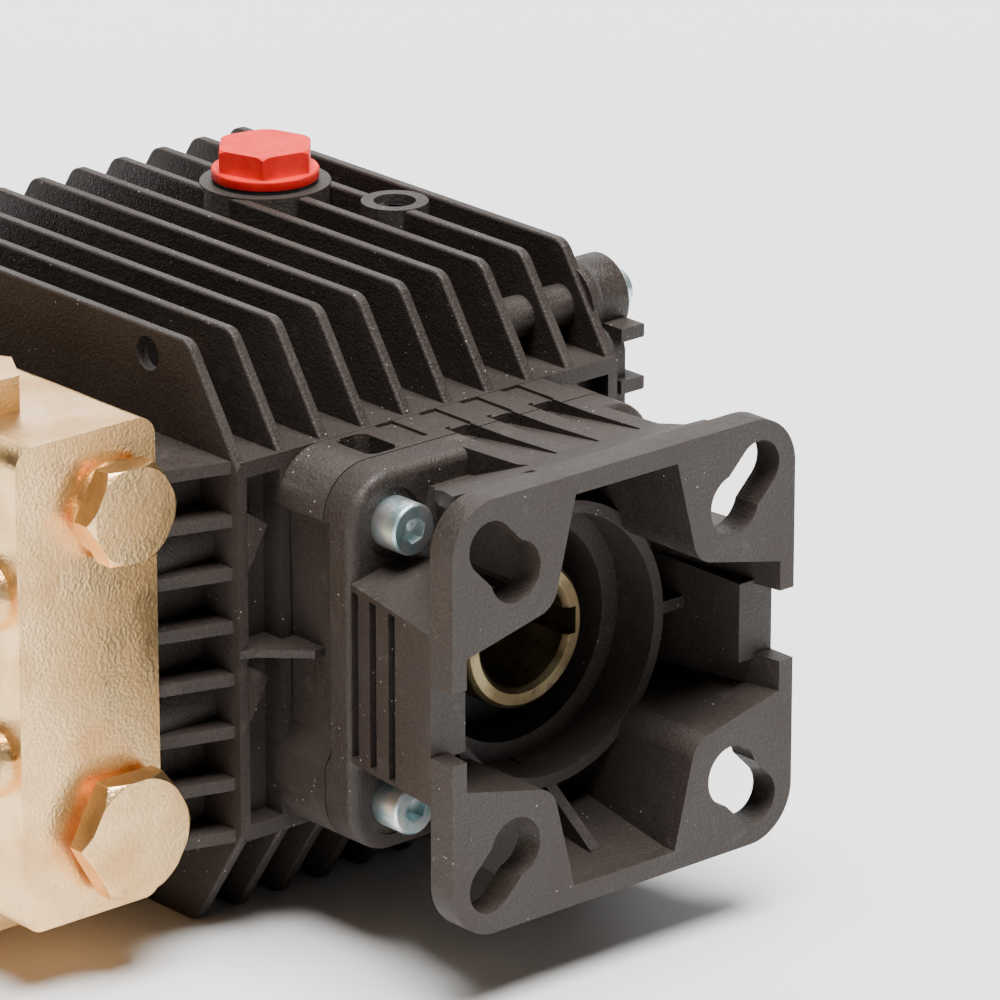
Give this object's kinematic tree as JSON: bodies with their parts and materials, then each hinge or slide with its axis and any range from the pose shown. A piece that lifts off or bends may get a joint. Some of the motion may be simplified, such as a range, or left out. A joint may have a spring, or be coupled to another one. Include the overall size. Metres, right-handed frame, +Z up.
{
  "type": "pressure washer pump",
  "caption": "Triplex plunger pump with a finned crankcase, hollow drive shaft, slotted engine flange, brass head with valves and unloader, and a red oil filler plug.",
  "frame": {"origin": "centre of the mounting flange's front face, on the drive shaft's axis", "axes": "+Y from the engine into the pump along the shaft, +X towards the rear cover, -X towards the brass head, +Z up to the oil filler"},
  "size_m": [0.2269, 0.252, 0.1618],
  "materials": {
    "cast_body": "matte dark grey-brown coating over sand-textured cast aluminium",
    "gasket": "matte",
    "zinc_screw": "bright zinc",
    "sight_glass": "clear",
    "sight_ring": "turned",
    "dark_screw": "black oxide",
    "aluminium_washer": "plain",
    "red_plastic": "moulded",
    "black_rubber": "matte",
    "shaft_steel": "oiled, turned",
    "bearing_steel": "ground",
    "brass": "machined forging",
    "rod_alloy": "as cast",
    "guide_steel": "ground",
    "ceramic_white": "polished",
    "valve_steel": "stainless",
    "black_plastic": "moulded"
  },
  "bodies": {
    "housing": {"crankcase": "cast_body", "mounting_flange": "cast_body", "flange_gasket": "gasket", "flange_screws": "zinc_screw", "rear_cover": "cast_body", "rear_cover_gasket": "gasket", "rear_cover_screws": "zinc_screw", "sight_glass": "sight_glass", "sight_glass_ring": "sight_ring", "oil_drain_plug": "dark_screw", "oil_drain_washer": "aluminium_washer", "oil_fill_plug": "red_plastic", "oil_fill_seal": "black_rubber", "deck_screw_plug": "dark_screw", "bearing_outer_rings": "bearing_steel", "shaft_oil_seal": "black_rubber", "end_cover": "cast_body", "end_cover_screws": "zinc_screw", "plunger_oil_seals": "black_rubber", "packing_retainers": "brass", "plunger_packings": "black_rubber", "manifold": "brass", "manifold_screws": "zinc_screw", "gallery_plugs": "brass", "valve_caps": "brass", "valve_seats": "valve_steel", "suction_valve_springs": "valve_steel", "delivery_valve_springs": "valve_steel", "unloader_body": "brass", "unloader_screws": "zinc_screw", "unloader_spring": "valve_steel", "outlet_fitting": "guide_steel", "inlet_fitting": "brass"},
    "crankshaft": {"crankshaft": "shaft_steel", "bearing_inner_rings": "bearing_steel"},
    "bearing_cages": {"bearing_balls": "bearing_steel"},
    "rod_1": {"connecting_rod_1": "rod_alloy"},
    "plunger_set_1": {"plunger_guide_1": "guide_steel", "wrist_pin_1": "bearing_steel", "plunger_1": "ceramic_white", "plunger_screw_1": "guide_steel"},
    "rod_2": {"connecting_rod_2": "rod_alloy"},
    "plunger_set_2": {"plunger_guide_2": "guide_steel", "wrist_pin_2": "bearing_steel", "plunger_2": "ceramic_white", "plunger_screw_2": "guide_steel"},
    "rod_3": {"connecting_rod_3": "rod_alloy"},
    "plunger_set_3": {"plunger_guide_3": "guide_steel", "wrist_pin_3": "bearing_steel", "plunger_3": "ceramic_white", "plunger_screw_3": "guide_steel"},
    "suction_valve_1": {"suction_valve_1": "valve_steel"},
    "suction_valve_2": {"suction_valve_2": "valve_steel"},
    "suction_valve_3": {"suction_valve_3": "valve_steel"},
    "delivery_valve_1": {"delivery_valve_1": "valve_steel"},
    "delivery_valve_2": {"delivery_valve_2": "valve_steel"},
    "delivery_valve_3": {"delivery_valve_3": "valve_steel"},
    "unloader_knob": {"unloader_knob": "black_plastic"},
    "unloader_piston": {"unloader_piston": "guide_steel"},
    "swivel_nut": {"inlet_swivel_nut": "black_plastic"}
  },
  "joints": [
    {"name": "crankshaft_spin", "type": "hinge", "parent": "housing", "child": "crankshaft", "pos_m": [0, 0, 0], "axis": [0, 1, 0], "continuous": true},
    {"name": "bearing_cage_spin", "type": "hinge", "parent": "housing", "child": "bearing_cages", "pos_m": [0, 0, 0], "axis": [0, 1, 0], "continuous": true},
    {"name": "rod_1_on_eccentric", "type": "hinge", "parent": "crankshaft", "child": "rod_1", "pos_m": [0.003, 0.1045, 0], "axis": [0, 1, 0], "continuous": true},
    {"name": "plunger_1_stroke", "type": "slide", "parent": "housing", "child": "plunger_set_1", "axis": [1, 0, 0], "range_m": [-0.006, 0]},
    {"name": "rod_2_on_eccentric", "type": "hinge", "parent": "crankshaft", "child": "rod_2", "pos_m": [-0.0015, 0.1425, 0.0026], "axis": [0, 1, 0], "continuous": true},
    {"name": "plunger_2_stroke", "type": "slide", "parent": "housing", "child": "plunger_set_2", "axis": [1, 0, 0], "range_m": [-0.00159, 0.00441]},
    {"name": "rod_3_on_eccentric", "type": "hinge", "parent": "crankshaft", "child": "rod_3", "pos_m": [-0.0015, 0.1805, -0.0026], "axis": [0, 1, 0], "continuous": true},
    {"name": "plunger_3_stroke", "type": "slide", "parent": "housing", "child": "plunger_set_3", "axis": [1, 0, 0], "range_m": [-0.00159, 0.00441]},
    {"name": "suction_valve_1_lift", "type": "slide", "parent": "housing", "child": "suction_valve_1", "axis": [0, 0, 1], "range_m": [0, 0.0012], "stiffness_N_per_m": 150, "springref_m": -0.004, "deforming": ["suction_valve_springs"]},
    {"name": "suction_valve_2_lift", "type": "slide", "parent": "housing", "child": "suction_valve_2", "axis": [0, 0, 1], "range_m": [0, 0.0012], "stiffness_N_per_m": 150, "springref_m": -0.004, "deforming": ["suction_valve_springs"]},
    {"name": "suction_valve_3_lift", "type": "slide", "parent": "housing", "child": "suction_valve_3", "axis": [0, 0, 1], "range_m": [0, 0.0012], "stiffness_N_per_m": 150, "springref_m": -0.004, "deforming": ["suction_valve_springs"]},
    {"name": "delivery_valve_1_lift", "type": "slide", "parent": "housing", "child": "delivery_valve_1", "axis": [0, 0, 1], "range_m": [0, 0.0012], "stiffness_N_per_m": 150, "springref_m": -0.004, "deforming": ["delivery_valve_springs"]},
    {"name": "delivery_valve_2_lift", "type": "slide", "parent": "housing", "child": "delivery_valve_2", "axis": [0, 0, 1], "range_m": [0, 0.0012], "stiffness_N_per_m": 150, "springref_m": -0.004, "deforming": ["delivery_valve_springs"]},
    {"name": "delivery_valve_3_lift", "type": "slide", "parent": "housing", "child": "delivery_valve_3", "axis": [0, 0, 1], "range_m": [0, 0.0012], "stiffness_N_per_m": 150, "springref_m": -0.004, "deforming": ["delivery_valve_springs"]},
    {"name": "unloader_knob_turn", "type": "hinge", "parent": "housing", "child": "unloader_knob", "pos_m": [-0.094, 0.231, 0.078], "axis": [0, 0, 1], "range_deg": [-180, 180]},
    {"name": "unloader_piston_lift", "type": "slide", "parent": "housing", "child": "unloader_piston", "axis": [0, 0, 1], "range_m": [0, 0.002], "stiffness_N_per_m": 2000, "springref_m": -0.005, "deforming": ["unloader_spring"]},
    {"name": "inlet_swivel_nut_spin", "type": "hinge", "parent": "housing", "child": "swivel_nut", "pos_m": [-0.141, 0.231, -0.035], "axis": [1, 0, 0], "continuous": true}
  ],
  "couplings": [
    {"joint": "bearing_cage_spin", "follows": "crankshaft_spin", "ratio": 0.4093},
    {"joint": "rod_1_on_eccentric", "follows": "crankshaft_spin", "ratio": -1},
    {"joint": "rod_2_on_eccentric", "follows": "crankshaft_spin", "ratio": -1},
    {"joint": "rod_3_on_eccentric", "follows": "crankshaft_spin", "ratio": -1}
  ]
}
